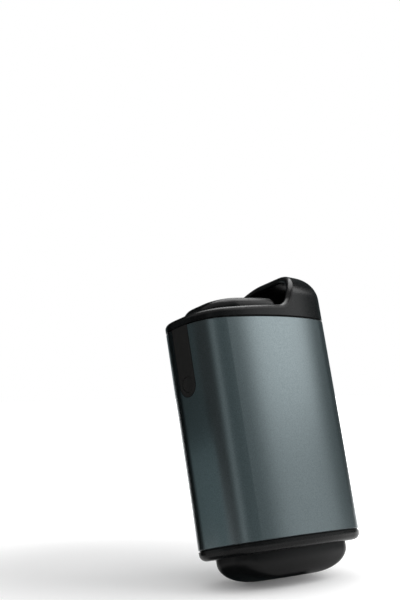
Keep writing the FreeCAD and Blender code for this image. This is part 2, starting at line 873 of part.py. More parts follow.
def main():
    os.makedirs("parts", exist_ok=True)
    print("body %.2f x %.2f, sleeve %.2f, overall height %.2f" % (
        body_width, body_depth, sleeve_length, arch_top))
    export("heat_sleeve", heat_sleeve())
    export("top_gasket", gasket(seam_top, cap_low))
    export("base_gasket", gasket(seam_low - gasket_thickness, seam_low))
    export("base_ring", base_ring())
    export("bumper_foot", bumper_foot())
    export("top_cap", top_cap())
    export("port_cover", port_cover())
    export("cover_seal", cover_seal())
    export("hinge_pin", hinge_pin())
    export("control_strip", control_strip())
    export("power_button", power_button())
    export("switch_plunger", switch_plunger())
    export("tact_switch", tact_switch())
    export("indicator_leds", indicator_leds())
    export("light_guide", light_guide())
    export("cell_left", cell(cell_left_x))
    export("cell_right", cell(cell_right_x))
    export("cell_insulators", cell_insulators())
    export("bus_bar_top", bus_bar(cell_top))
    export("bus_bar_bottom", bus_bar(cell_low - bus_bar_thickness))
    export("carrier_front", carrier(-1))
    export("carrier_back", carrier(1))
    export("heater_front", heater(-1))
    export("heater_back", heater(1))
    export("pad_front", pad(-1))
    export("pad_back", pad(1))
    export("thermistor", thermistor())
    export("main_board", main_board())
    export("usb_c_port", usb_c_port())
    export("power_inductor", power_inductor())
    export("control_chips", control_chips())
    export("capacitors", capacitors())
    export("battery_leads", battery_leads())
    export("heater_leads", heater_leads())
    export("cap_screws", cap_screws())
    export("base_screws", base_screws())
    export("board_screws", board_screws())


main()
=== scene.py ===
# %% [markdown]
# A rechargeable hand warmer stands before us: a teal aluminium sleeve between two black mouldings.
# Its construction comes ready made as a frame of separate pieces, each riding on a moving body.
# This lesson adds the looks: the finish of every surface, the fine detail, the light and the camera.

# %% Load the frame
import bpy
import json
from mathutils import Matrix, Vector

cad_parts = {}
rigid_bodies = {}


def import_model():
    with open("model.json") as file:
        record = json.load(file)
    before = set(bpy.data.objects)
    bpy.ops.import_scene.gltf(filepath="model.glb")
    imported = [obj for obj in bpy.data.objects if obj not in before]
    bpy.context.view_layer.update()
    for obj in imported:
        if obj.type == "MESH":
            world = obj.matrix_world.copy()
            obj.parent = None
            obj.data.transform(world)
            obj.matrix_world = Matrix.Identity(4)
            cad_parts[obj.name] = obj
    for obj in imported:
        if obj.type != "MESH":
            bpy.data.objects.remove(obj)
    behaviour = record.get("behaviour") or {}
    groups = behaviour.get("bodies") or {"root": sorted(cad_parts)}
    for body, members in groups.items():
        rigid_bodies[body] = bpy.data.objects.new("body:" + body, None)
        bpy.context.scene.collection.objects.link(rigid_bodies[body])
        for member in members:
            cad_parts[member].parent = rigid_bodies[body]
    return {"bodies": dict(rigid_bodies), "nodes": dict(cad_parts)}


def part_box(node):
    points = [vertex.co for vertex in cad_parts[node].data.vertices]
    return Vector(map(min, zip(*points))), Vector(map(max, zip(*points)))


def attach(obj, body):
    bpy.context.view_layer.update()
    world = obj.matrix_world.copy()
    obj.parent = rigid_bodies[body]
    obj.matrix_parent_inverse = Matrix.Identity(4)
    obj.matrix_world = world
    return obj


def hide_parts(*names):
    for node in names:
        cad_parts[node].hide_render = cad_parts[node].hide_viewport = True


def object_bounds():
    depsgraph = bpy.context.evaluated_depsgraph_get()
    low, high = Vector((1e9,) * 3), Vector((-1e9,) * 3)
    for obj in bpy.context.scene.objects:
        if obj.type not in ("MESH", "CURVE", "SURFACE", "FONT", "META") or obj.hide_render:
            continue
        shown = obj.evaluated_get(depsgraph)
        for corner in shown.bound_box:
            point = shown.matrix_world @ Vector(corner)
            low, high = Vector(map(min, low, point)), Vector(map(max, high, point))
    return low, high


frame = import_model()
cad_low, cad_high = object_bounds()
nodes = frame["nodes"]
print("frame:", len(nodes), "pieces on bodies", ", ".join(sorted(frame["bodies"])))

# %% [markdown]
# Every length below is in metres, and every place is in the frame's own axes: +Z is up, the front
# looks towards -Y and the control strip is at -X. Small pieces are easier to read in millimetres, so
# one number turns these into metres.

# %% Units and places
import itertools
import json
import math
import bpy
import bmesh
from mathutils import Matrix, Vector

MM = 0.001
middle = (cad_low + cad_high) / 2
print("object centre:", tuple(round(v / MM, 1) for v in middle), "mm")

# %% [markdown]
# In its picture the warmer leans back a little. We could tilt the object, but its frame has to stay
# upright, so the floor and the camera lean instead, by the same angle. The camera is then level with
# that floor, turned to the left end of the object, and its lens is shifted to keep the walls upright.

# %% Camera
LEAN = math.radians(13.76)
HEADING = math.radians(39.13)
CAMERA_PLACE = Vector((-261.1, -284.1, 5.2)) * MM
LENS = 67.1
SENSOR = 36.0
PICTURE_HEIGHT = 600
HORIZON_ROW = 362

lean_turn = Matrix.Rotation(LEAN, 4, "X")
level_camera = Matrix.Rotation(-HEADING, 4, "Z") @ Matrix.Rotation(math.radians(90), 4, "X")
camera_data = bpy.data.cameras.new("camera")
camera_data.lens = LENS
camera_data.sensor_width = SENSOR
camera_data.shift_y = (HORIZON_ROW - PICTURE_HEIGHT / 2) / PICTURE_HEIGHT
camera_data.clip_start = 0.01
camera = bpy.data.objects.new("camera", camera_data)
camera.matrix_world = Matrix.Translation(CAMERA_PLACE) @ lean_turn @ level_camera
bpy.context.scene.collection.objects.link(camera)
bpy.context.scene.camera = camera
view_axis = camera.matrix_world.to_3x3() @ Vector((0, 0, -1))
print("camera looks along", tuple(round(v, 3) for v in view_axis))

# %% [markdown]
# Several materials below need the same small steps, so these come first. One tells rays that look
# straight at a surface, from the camera, a gloss or a clear piece, from soft light. Another maps one
# range of values to another. They could be placed by hand in the shader editor, but in a function they
# are written once.

# %% Shader steps


def new_tree(material):
    material.use_nodes = True
    tree = material.node_tree
    tree.nodes.clear()
    return tree, tree.nodes.new("ShaderNodeOutputMaterial")


def seen_directly(tree):
    """A socket that is 1 for rays from the camera, a gloss or a clear piece, and 0 for soft light."""
    path = tree.nodes.new("ShaderNodeLightPath")
    seen = path.outputs["Is Camera Ray"]
    for ray in ("Is Glossy Ray", "Is Transmission Ray"):
        either = tree.nodes.new("ShaderNodeMath")
        either.operation = "MAXIMUM"
        tree.links.new(seen, either.inputs[0])
        tree.links.new(path.outputs[ray], either.inputs[1])
        seen = either.outputs[0]
    return seen


def map_range(tree, source, start, end, low, high):
    """A node that maps a value from start..end to low..high and keeps it in between."""
    node = tree.nodes.new("ShaderNodeMapRange")
    sockets = ("From Min", "From Max", "To Min", "To Max")
    for socket, value in zip(sockets, (start, end, low, high)):
        node.inputs[socket].default_value = value
    tree.links.new(source, node.inputs["Value"])
    return node


print("shader steps: new_tree, seen_directly, map_range")

# %% [markdown]
# The object stands on a pale floor. A plain one would come out grey far from the object, and a shadow
# catcher would need a second picture to lie over. So its material adds a glow, for rays that look
# straight at it, that grows with the distance from a point behind and left of the object: far off the
# floor is as white as the room, while near that point the weak glow paints a soft shade on the floor,
# besides the real shadow under the object. From below it is clear, so that a low camera looks through
# it.

# %% Floor paper
FLOOR_COLOUR = (0.86, 0.86, 0.86, 1)
# round this point the floor's glow stays low, a painted shade on top of the real shadow
SHADOW_CENTRE = (-0.030, 0.055, 0)
SHADOW_REACH = (0.03, 0.20)  # distances where the glow starts to rise and where it is full
FLOOR_GLOW = (0.04, 1.0)


def floor_paper():
    material = bpy.data.materials.new("floor_paper")
    tree, output = new_tree(material)
    new, link = tree.nodes.new, tree.links.new
    paper = new("ShaderNodeBsdfDiffuse")
    paper.inputs["Color"].default_value = FLOOR_COLOUR
    away = new("ShaderNodeVectorMath")
    away.operation = "DISTANCE"
    away.inputs[1].default_value = SHADOW_CENTRE
    link(new("ShaderNodeTexCoord").outputs["Object"], away.inputs[0])
    fade = map_range(tree, away.outputs["Value"], *SHADOW_REACH, *FLOOR_GLOW)
    fade.interpolation_type = "SMOOTHSTEP"
    level = new("ShaderNodeMath")
    level.operation = "MULTIPLY"
    link(fade.outputs[0], level.inputs[0])
    link(seen_directly(tree), level.inputs[1])
    glow = new("ShaderNodeEmission")
    link(level.outputs[0], glow.inputs["Strength"])
    both = new("ShaderNodeAddShader")
    link(paper.outputs[0], both.inputs[0])
    link(glow.outputs[0], both.inputs[1])
    clear = new("ShaderNodeBsdfTransparent")
    pick = new("ShaderNodeMixShader")
    link(new("ShaderNodeNewGeometry").outputs["Backfacing"], pick.inputs["Fac"])
    link(both.outputs[0], pick.inputs[1])
    link(clear.outputs[0], pick.inputs[2])
    link(pick.outputs[0], output.inputs["Surface"])
    return material


floor_material = floor_paper()
print("floor material:", floor_material.name)

# %% [markdown]
# The floor itself is one large flat card that just touches the lowest point of the leaning foot. Its
# height could be typed in, but measured on the pieces of the frame it is right for any foot.

# %% Floor
FLOOR_REACH = 3.0


def mesh_object(name, shape):
    """Turns a shape into an object of the scene."""
    mesh = bpy.data.meshes.new(name)
    shape.to_mesh(mesh)
    shape.free()
    made = bpy.data.objects.new(name, mesh)
    bpy.context.scene.collection.objects.link(made)
    return made


def sheet_object(name, width, height, matrix, material):
    """A flat card, width by height, centred on a place."""
    shape = bmesh.new()
    corners = [(-1, -1), (1, -1), (1, 1), (-1, 1)]
    shape.faces.new([shape.verts.new((x * width / 2, y * height / 2, 0)) for x, y in corners])
    card = mesh_object(name, shape)
    card.data.materials.append(material)
    card.matrix_world = matrix
    return card


floor_up = lean_turn.to_3x3() @ Vector((0, 0, 1))
resting = [vertex.co.dot(floor_up) for name in ("bumper_foot", "base_ring")
           for vertex in nodes[name].data.vertices]
floor_place = Matrix.Translation(floor_up * min(resting)) @ lean_turn
sheet_object("floor", FLOOR_REACH, FLOOR_REACH, floor_place, floor_material)
print("floor touches the foot %.2f mm from the origin" % (min(resting) / MM))

# %% [markdown]
# An even white room would leave the metal flat: satin shows what stands round it. So the studio is
# built as a photographer builds one. A large soft box ahead and to the right, with a dimmer lower half,
# gives the broad bright field on the front, and a small wing beside it lights the arch. A slim box
# beside the camera draws the narrow band on the corner. The one overhead is there for the sheen of the
# black top and shows in gloss alone.

# %% Lamps
KEY_DISTANCE = 0.62
NEAR_DISTANCE = 0.60
LAMPS = (  # name, azimuth, elevation, distance, width, height, radiance
    ("key_upper", 42.2, 27, KEY_DISTANCE, 0.455, 0.46, 2.15),
    ("key_wing", 67, 31, KEY_DISTANCE, 0.11, 0.17, 3.6),
    ("key_lower", 43.0, -6, KEY_DISTANCE, 0.48, 0.22, 0.74),
    ("corner_strip", -42, 14, NEAR_DISTANCE, 0.15, 0.60, 0.33),
    ("overhead", 90, 76, NEAR_DISTANCE, 0.52, 0.52, 5.2),
)


def around(azimuth, elevation, distance):
    """A point round the object: azimuth 0 is in front of it and 90 is at its right end."""
    a, e = math.radians(azimuth), math.radians(elevation)
    level = Vector((math.sin(a), -math.cos(a), 0))
    return middle + (level * math.cos(e) + Vector((0, 0, math.sin(e)))) * distance


def facing(place, target=middle):
    """Turns an object's -Z axis from its place to a target, as lamps and cameras point."""
    turn = (target - place).to_track_quat("-Z", "Y")
    return Matrix.Translation(place) @ turn.to_matrix().to_4x4()


def soft_box(name, azimuth, elevation, distance, width, height, radiance):
    """A rectangular lamp of an even brightness, pointed at the object."""
    data = bpy.data.lights.new(name, "AREA")
    data.shape = "RECTANGLE"
    data.size = width
    data.size_y = height
    data.energy = radiance * math.pi * width * height
    lamp = bpy.data.objects.new(name, data)
    lamp.matrix_world = facing(around(azimuth, elevation, distance))
    bpy.context.scene.collection.objects.link(lamp)
    return lamp


lamps = {settings[0]: soft_box(*settings) for settings in LAMPS}
lamps["overhead"].visible_diffuse = False
print("lamps:", ", ".join(lamps))

# %% [markdown]
# Curtains hang round the object where its gloss would show too much white. Their cloth could be lit by
# the lamps, but then each change of a lamp would change it too, so it glows evenly in a cool grey. It
# shows in reflections alone: the camera, soft light and shadows pass through it.

# %% Curtain cloth
COOL = (0.80, 1.0, 1.03)


def curtain_cloth(name, grey):
    material = bpy.data.materials.new(name)
    tree, output = new_tree(material)
    cloth = tree.nodes.new("ShaderNodeEmission")
    cloth.inputs["Color"].default_value = (*(grey * share for share in COOL), 1)
    tree.links.new(cloth.outputs[0], output.inputs["Surface"])
    return material


def only_in_gloss(sheet):
    """Hides a sheet from the camera, from soft light and from shadows."""
    sheet.visible_camera = False
    sheet.visible_diffuse = False
    sheet.visible_shadow = False


print("curtain cloth: any grey times", COOL)

# %% [markdown]
# A curtain is a bent sheet on an arc, made from a few upright strips by a loop, which is simpler than
# bending one plane with a modifier. Tall ones hang far off, as the walls of the studio. Flags are small
# ones close by that deepen the left end.

# %% Curtains
CURTAIN_RADIUS = 0.78
CURTAIN_LOW = -0.45
CURTAIN_HIGH = 0.42
CEILING = 2.2
CURTAIN_STRIPS = 12
WALL = (CURTAIN_LOW, CURTAIN_HIGH, CURTAIN_RADIUS)
UPPER_WALL = (CURTAIN_HIGH, CEILING, CURTAIN_RADIUS)
CURTAINS = (  # name, first and last azimuth, grey, then low edge, high edge and radius
    ("curtain_left", -150, -55, 0.045, *WALL),
    ("curtain_front", -55, 70, 0.25, *WALL),
    ("curtain_right", 70, 150, 0.13, *WALL),
    ("curtain_back", 150, 210, 0.30, *WALL),
    ("curtain_back_high", 145, 215, 0.015, *UPPER_WALL),
    ("curtain_right_high", 68, 145, 0.055, *UPPER_WALL),
    ("flag_side", -172, -100, 0.15, -0.03, 0.13, 0.17),
    ("flag_side_low", -172, -86, 0.39, CURTAIN_LOW, 0.002, 0.10),
    ("flag_edge", -152, -121, 0.004, CURTAIN_LOW, 0.06, 0.05),
)


def curtain(name, first, last, grey, low, high, radius):
    shape = bmesh.new()
    columns = []
    for step in range(CURTAIN_STRIPS + 1):
        foot = around(first + (last - first) * step / CURTAIN_STRIPS, 0, radius)
        columns.append([shape.verts.new(foot + Vector((0, 0, z))) for z in (low, high)])
    for (a, b), (c, d) in zip(columns, columns[1:]):
        shape.faces.new((a, c, d, b))
    sheet = mesh_object(name, shape)
    sheet.data.materials.append(curtain_cloth(name, grey))
    only_in_gloss(sheet)


for settings in CURTAINS:
    curtain(*settings)
print("curtains:", ", ".join(settings[0] for settings in CURTAINS))

# %% [markdown]
# Under the foot the floor lies in deep shade, and the gloss of the foot shows it. The floor's glow is
# too bright for that, but dimming it there would also dim the floor that the camera sees. A small dark
# card just above the floor, again in gloss alone, stands for the shade instead.

# %% Card under the foot
FOOT_CARD_SIZE = (0.040, 0.024)
FOOT_CARD_PLACE = (-0.014, 0.002, 0.0003)
FOOT_CARD_GREY = 0.03

under_foot = floor_place @ Matrix.Translation(FOOT_CARD_PLACE)
foot_cloth = curtain_cloth("flag_foot", FOOT_CARD_GREY)
foot_card = sheet_object("flag_foot", *FOOT_CARD_SIZE, under_foot, foot_cloth)
only_in_gloss(foot_card)
print("card under the foot:", foot_card.name)

# %% [markdown]
# The world is the room beyond: plain white where the camera, a gloss or a clear piece looks straight
# at it, and a dimmer grey as a source of light. A picture of a real studio could serve, but a plain
# room needs no file. The view transform is the plain one too, so that colours come out about as they
# are written.

# %% World
ROOM_LIGHT = 0.83
WHITE = 1.0


def white_room():
    world = bpy.data.worlds.new("white_room")
    world.use_nodes = True
    tree = world.node_tree
    tree.nodes.clear()
    output = tree.nodes.new("ShaderNodeOutputWorld")
    strength = map_range(tree, seen_directly(tree), 0, 1, ROOM_LIGHT, WHITE)
    room = tree.nodes.new("ShaderNodeBackground")
    room.inputs["Color"].default_value = (1, 1, 1, 1)
    tree.links.new(strength.outputs[0], room.inputs["Strength"])
    tree.links.new(room.outputs[0], output.inputs["Surface"])
    bpy.context.scene.world = world
    return world


print("world:", white_room().name)
bpy.context.scene.view_settings.view_transform = "Standard"

# %% [markdown]
# Finishes come next. A finish here is one Principled shader with its plain numbers set on its own
# sockets, and textures only where the surface truly varies. The shader could be set up anew for every
# piece, but a small class does it once for all.

# %% One finish


class Finish:
    """A material with one Principled shader, built up by small steps."""

    def __init__(self, name, colour, roughness, metallic=0.0, **sockets):
        self.material = bpy.data.materials.new(name)
        self.tree, output = new_tree(self.material)
        self.shader = self.add("ShaderNodeBsdfPrincipled")
        self.join(self.shader.outputs[0], output.inputs["Surface"])
        self.place = self.add("ShaderNodeTexCoord").outputs["Object"]
        self.set("Base Color", (*colour, 1))
        self.set("Roughness", roughness)
        self.set("Metallic", metallic)
        for socket, value in sockets.items():
            self.set(socket.replace("_", " ").title().replace("Ior", "IOR"), value)

    def add(self, kind):
        return self.tree.nodes.new(kind)

    def join(self, source, target):
        self.tree.links.new(source, target)

    def set(self, socket, value):
        self.shader.inputs[socket].default_value = value


print("pieces to dress:", len(nodes))

# %% [markdown]
# Textures could be painted and wrapped round each piece. Here they are worked out from the object's
# own coordinates, in metres, so a grain needs no unwrapping, keeps its real size, and rides along when
# a piece moves.

# %% Textures
WAVE_PERIOD = math.pi / 10  # of Blender's wave texture at a scale of 1


def stretched(finish, scale):
    """The object's coordinates, scaled differently along each axis."""
    node = finish.add("ShaderNodeMapping")
    node.inputs["Scale"].default_value = scale
    finish.join(finish.place, node.inputs["Vector"])
    return node.outputs[0]


def noise(finish, size, detail=2.0, place=None, roughness=0.5):
    """Soft random grain whose blobs are about as large as size, in metres."""
    node = finish.add("ShaderNodeTexNoise")
    node.inputs["Scale"].default_value = 1 / size
    node.inputs["Detail"].default_value = detail
    node.inputs["Roughness"].default_value = roughness
    finish.join(place or finish.place, node.inputs["Vector"])
    return node.outputs[0]


def cells(finish, size, feature="F1"):
    """Distances in a pattern of random cells about as large as size, in metres."""
    node = finish.add("ShaderNodeTexVoronoi")
    node.feature = feature
    node.inputs["Scale"].default_value = 1 / size
    finish.join(finish.place, node.inputs["Vector"])
    return node.outputs["Distance"]


def waves(finish, pitch, axis):
    """Even bands across an axis, one to each pitch, in metres."""
    node = finish.add("ShaderNodeTexWave")
    node.bands_direction = axis
    node.inputs["Scale"].default_value = WAVE_PERIOD / pitch
    finish.join(finish.place, node.inputs["Vector"])
    return node.outputs["Fac"]


print("textures: noise, cells, waves")

# %% [markdown]
# A texture can act on a finish in three ways: on its tone, its roughness or its relief. Relief this
# fine could be real dents, but they would need millions of faces, so it is a bump of the shading.

# %% What textures vary
NOISE_LOW, NOISE_HIGH = 0.3, 0.7  # most of a noise lies between these
COLOUR_A, COLOUR_B, COLOUR_RESULT = 6, 7, 2  # sockets of a Mix node that mixes colours


def vary_roughness(finish, source, low, high):
    amount = map_range(finish.tree, source, NOISE_LOW, NOISE_HIGH, low, high)
    finish.join(amount.outputs[0], finish.shader.inputs["Roughness"])


def vary_tone(finish, source, dark, light, start=NOISE_LOW, end=NOISE_HIGH):
    ramp = finish.add("ShaderNodeMix")
    ramp.data_type = "RGBA"
    ramp.inputs[COLOUR_A].default_value = (*dark, 1)
    ramp.inputs[COLOUR_B].default_value = (*light, 1)
    share = map_range(finish.tree, source, start, end, 0, 1)
    finish.join(share.outputs[0], ramp.inputs[0])
    finish.join(ramp.outputs[COLOUR_RESULT], finish.shader.inputs["Base Color"])


def emboss(finish, source, depth, strength):
    bump = finish.add("ShaderNodeBump")
    bump.inputs["Strength"].default_value = strength
    bump.inputs["Distance"].default_value = depth
    finish.join(source, bump.inputs["Height"])
    finish.join(bump.outputs[0], finish.shader.inputs["Normal"])
    return finish


print("textures vary: tone, roughness, relief")

# %% [markdown]
# The sleeve is extruded aluminium, blasted with fine beads and then dyed and anodised. Blasting leaves
# a soft satin with a grain of about a third of a millimetre. Single dents are too small to see, so the
# grain is mostly a change of tone, and the relief is slight. The dye in the oxide layer tints every
# reflection, hence a finish that is all metal with a dark tint.

# %% Anodised sleeve
TEAL = (0.1515, 0.178, 0.1855)
SATIN = (0.276, 0.282)
BEAD_SIZE = 0.35 * MM
PATCH_SIZE = 0.8 * MM


def shade(colour, factor):
    """A darker or lighter shade of a colour."""
    return tuple(channel * factor for channel in colour)


def dress(finish, *names):
    """Gives a finish to pieces of the frame, in place of the plain one they came with."""
    for name in names:
        for index in range(len(nodes[name].data.materials)):
            nodes[name].data.materials[index] = finish.material
    print(finish.material.name, "on", ", ".join(names))


def anodised_aluminium():
    finish = Finish("anodised_aluminium", TEAL, sum(SATIN) / 2, metallic=1.0)
    beads = noise(finish, BEAD_SIZE, detail=3.0)
    vary_tone(finish, beads, shade(TEAL, 0.86), shade(TEAL, 1.14))
    vary_roughness(finish, noise(finish, PATCH_SIZE), *SATIN)
    return emboss(finish, beads, depth=0.002 * MM, strength=0.1)


dress(anodised_aluminium(), "heat_sleeve")

# %% [markdown]
# The two caps and the port cover are one black polycarbonate blend, moulded in a finely sparked tool.
# It is nearly black, and what shows is its sheen: a soft gloss with a fine leathery grain. One
# black could do for all, but the strip is duller and the foot is soft, so one recipe serves with
# other numbers for each. The strip's black has a brown tint, which is a painted warm reflection.

# %% Black mouldings
CAP_BLACK = (0.0030, 0.0030, 0.0031)
# the strip's own black, with a brown tint that is a painted warm reflection
STRIP_BLACK_AND_WARM_REFLECTION = (0.0108, 0.0102, 0.0098)
GASKET_BLACK = shade(CAP_BLACK, 0.5)
MOULDED_SHEEN = 0.14
SHEEN_SPREAD = 0.04
BLOTCHES = 6  # size of the faint blotches, in grains


def moulded(name, colour, roughness, grain, depth):
    """A moulded plastic, with the size and the depth of its grain in millimetres."""
    finish = Finish(name, colour, roughness, specular_ior_level=MOULDED_SHEEN)
    spark = noise(finish, grain * MM, detail=3.0)
    blotches = noise(finish, BLOTCHES * grain * MM)
    vary_tone(finish, blotches, shade(colour, 0.88), shade(colour, 1.12))
    vary_roughness(finish, spark, roughness - SHEEN_SPREAD, roughness + SHEEN_SPREAD)
    return emboss(finish, spark, depth * MM, strength=0.5)


dress(moulded("cap_black", CAP_BLACK, roughness=0.27, grain=0.30, depth=0.006),
      "top_cap", "port_cover", "base_ring")
dress(moulded("strip_black", STRIP_BLACK_AND_WARM_REFLECTION, roughness=0.45, grain=0.25, depth=0.004),
      "control_strip", "power_button")
dress(moulded("soft_black", CAP_BLACK, roughness=0.36, grain=0.40, depth=0.010),
      "bumper_foot")
dress(moulded("gasket_black", GASKET_BLACK, roughness=0.62, grain=0.20, depth=0.004),
      "top_gasket", "base_gasket", "cover_seal")

# %% [markdown]
# Inside are metals: steel screws, pin and socket shell, nickel straps and capacitor cans. Drawn and
# plated metal carries fine scratches along one direction. An anisotropic shader could show them, but a
# grain stretched along one axis is easier to steer.

# %% Metals inside
STEEL = (0.56, 0.56, 0.57)
NICKEL = (0.62, 0.59, 0.53)
CAN_ALUMINIUM = (0.72, 0.73, 0.74)
SCRATCH_SIZE = 0.4 * MM
SCRATCH_SPREAD = 0.07


def drawn_metal(name, colour, roughness, stretch):
    """A metal whose scratches run along the axis with the small number in stretch."""
    finish = Finish(name, colour, roughness, metallic=1.0)
    lines = noise(finish, SCRATCH_SIZE, detail=2.0, place=stretched(finish, stretch))
    vary_tone(finish, lines, shade(colour, 0.85), shade(colour, 1.1))
    vary_roughness(finish, lines, roughness - SCRATCH_SPREAD, roughness + SCRATCH_SPREAD)
    return emboss(finish, lines, depth=0.003 * MM, strength=0.4)


dress(drawn_metal("steel", STEEL, roughness=0.32, stretch=(1, 0.06, 1)),
      "hinge_pin", "usb_c_port", "cap_screws", "base_screws", "board_screws")
dress(drawn_metal("nickel", NICKEL, roughness=0.34, stretch=(0.05, 1, 1)),
      "bus_bar_top", "bus_bar_bottom")
dress(drawn_metal("capacitor_can", CAN_ALUMINIUM, roughness=0.28, stretch=(0.05, 1, 1)),
      "capacitors")

# %% [markdown]
# The cells wear a shrunk plastic wrap, which is smooth with faint ripples, and sit between discs of
# fibre paper in a grey moulded carrier. The ripples could be modelled, but the cells are deep inside,
# so a bump is enough.

# %% Cells and carrier
WRAP_BLUE = (0.045, 0.135, 0.235)
PAPER = (0.46, 0.42, 0.30)
CARRIER_GREY = (0.16, 0.165, 0.17)


def cell_wrap():
    finish = Finish("cell_wrap", WRAP_BLUE, roughness=0.30)
    ripple = noise(finish, 3.0 * MM, place=stretched(finish, (1, 1, 0.25)))
    vary_tone(finish, ripple, shade(WRAP_BLUE, 0.9), shade(WRAP_BLUE, 1.1))
    vary_roughness(finish, noise(finish, 0.8 * MM), low=0.24, high=0.38)
    return emboss(finish, ripple, depth=0.05 * MM, strength=0.3)


def insulating_paper():
    finish = Finish("insulating_paper", PAPER, roughness=0.85)
    fibres = noise(finish, 0.5 * MM, detail=5.0, roughness=0.7)
    vary_tone(finish, fibres, shade(PAPER, 0.8), shade(PAPER, 1.15))
    return emboss(finish, fibres, depth=0.03 * MM, strength=0.5)


dress(cell_wrap(), "cell_left", "cell_right")
dress(insulating_paper(), "cell_insulators")
dress(moulded("carrier_plastic", CARRIER_GREY, roughness=0.55, grain=0.35, depth=0.010),
      "carrier_front", "carrier_back")

# %% [markdown]
# The heaters are amber film with a foil track that winds back and forth, and they are pressed outward
# by pads of foam with small open cells. Film and foil are far too thin to cut the track as a shape, so
# even waves draw it, and a pattern of cells draws the foam, darker in the middle of each cell as
# painted shade in the open pores.

# %% Heaters and pads
AMBER = (0.42, 0.17, 0.025)
FOIL = (0.10, 0.055, 0.030)
FOAM = (0.52, 0.52, 0.50)
TRACK_PITCH = 3.0 * MM
BUBBLE_SIZE = 0.7 * MM


def heater_film():
    finish = Finish("heater_film", AMBER, roughness=0.28)
    track = waves(finish, TRACK_PITCH, "Z")
    vary_tone(finish, track, FOIL, AMBER, start=0.42, end=0.58)
    vary_roughness(finish, noise(finish, 1.5 * MM), low=0.22, high=0.36)
    return emboss(finish, track, depth=0.03 * MM, strength=0.5)


def insulating_foam():
    finish = Finish("insulating_foam", FOAM, roughness=0.92)
    bubbles = cells(finish, BUBBLE_SIZE)
    # each cell is darker in its middle: painted shade in the pore
    vary_tone(finish, bubbles, shade(FOAM, 0.7), shade(FOAM, 1.1), start=0.1, end=0.7)
    return emboss(finish, bubbles, depth=0.15 * MM, strength=0.7)


dress(heater_film(), "heater_front", "heater_back")
dress(insulating_foam(), "pad_front", "pad_back")

# %% [markdown]
# The electronics: a green board whose copper shows as faint lighter lanes under the lacquer, black
# epoxy packages, a ferrite block, white light emitters, a clear guide and silicone covered leads. The
# lanes could be a picture of a real layout. The edges of a cell pattern give as much at this size.

# %% Electronics
BOARD_GREEN = (0.012, 0.085, 0.040)
EPOXY = (0.018, 0.018, 0.019)
FERRITE = (0.055, 0.055, 0.058)
LIGHT_WHITE = (0.78, 0.76, 0.62)
LEAD_RED = (0.46, 0.020, 0.016)
LEAD_WHITE = (0.70, 0.69, 0.66)
CLEAR = (0.95, 0.96, 0.97)
LANE_SIZE = 2.4 * MM


def circuit_board():
    finish = Finish("circuit_board", BOARD_GREEN, roughness=0.30)
    lanes = cells(finish, LANE_SIZE, "DISTANCE_TO_EDGE")
    vary_tone(finish, lanes, shade(BOARD_GREEN, 1.6), BOARD_GREEN, start=0.05, end=0.12)
    vary_roughness(finish, noise(finish, 0.6 * MM), low=0.24, high=0.38)
    return emboss(finish, lanes, depth=0.02 * MM, strength=0.4)


def clear_guide():
    finish = Finish("clear_guide", CLEAR, roughness=0.08, transmission_weight=1.0, ior=1.49)
    return emboss(finish, noise(finish, 2.0 * MM), depth=0.01 * MM, strength=0.2)


dress(circuit_board(), "main_board")
dress(moulded("chip_black", EPOXY, roughness=0.5, grain=0.15, depth=0.004),
      "control_chips", "tact_switch", "switch_plunger", "thermistor")
dress(moulded("ferrite", FERRITE, roughness=0.7, grain=0.25, depth=0.012), "power_inductor")
dress(moulded("led_white", LIGHT_WHITE, roughness=0.35, grain=0.20, depth=0.004), "indicator_leds")
dress(moulded("lead_red", LEAD_RED, roughness=0.45, grain=0.40, depth=0.010), "battery_leads")
dress(moulded("lead_white", LEAD_WHITE, roughness=0.45, grain=0.40, depth=0.010), "heater_leads")
dress(clear_guide(), "light_guide")

# %% [markdown]
# Screws are simple solids in the construction. Here each gets a domed head and a thread, turned from
# one profile. A true helix would need far more faces and look the same at this size, so the thread is
# a row of rings.

# %% Turned screws
HEAD_RADIUS = 1.8 * MM
HEAD_HEIGHT = 1.4 * MM
HEAD_EDGE = 0.1  # where the chamfer under the head starts, as a share of its height
HEAD_SEAT = 0.94  # how wide the head's underside is, as a share of its radius
DOME_STEPS = 6
SHANK_RADIUS = 1.0 * MM
THREAD_PITCH = 0.4 * MM
THREAD_DEPTH = 0.13 * MM
TURNED_SIDES = 40


def turned(profile):
    """A solid turned round Z from a list of radius and height, which starts and ends on the axis."""
    shape = bmesh.new()
    angles = [2 * math.pi * step / TURNED_SIDES for step in range(TURNED_SIDES)]
    rings = []
    for radius, height in profile:
        if radius == 0:
            rings.append([shape.verts.new((0, 0, height))] * TURNED_SIDES)
            continue
        rings.append([shape.verts.new((radius * math.cos(a), radius * math.sin(a), height))
                      for a in angles])
    for upper, lower in zip(rings, rings[1:]):
        for step in range(TURNED_SIDES):
            after = (step + 1) % TURNED_SIDES
            corners = [upper[step], lower[step], lower[after], upper[after]]
            shape.faces.new(list(dict.fromkeys(corners)))
    return shape


def screw_profile(length):
    """Radius and height from the top of the dome down to the tip, with rings for the thread."""
    dome = [math.radians(90 * step / DOME_STEPS) for step in range(DOME_STEPS + 1)]
    points = [(HEAD_RADIUS * math.sin(a), HEAD_HEIGHT * (0.5 + 0.5 * math.cos(a))) for a in dome]
    points += [(HEAD_RADIUS, HEAD_EDGE * HEAD_HEIGHT), (HEAD_SEAT * HEAD_RADIUS, 0)]
    for turn in range(int(length / THREAD_PITCH)):
        points += [(SHANK_RADIUS - THREAD_DEPTH, -turn * THREAD_PITCH),
                   (SHANK_RADIUS, -(turn + 0.5) * THREAD_PITCH)]
    return points + [(SHANK_RADIUS - THREAD_DEPTH, -length), (0, -length)]


print("screw head: %.1f mm wide and %.1f mm high" % (2 * HEAD_RADIUS / MM, HEAD_HEIGHT / MM))

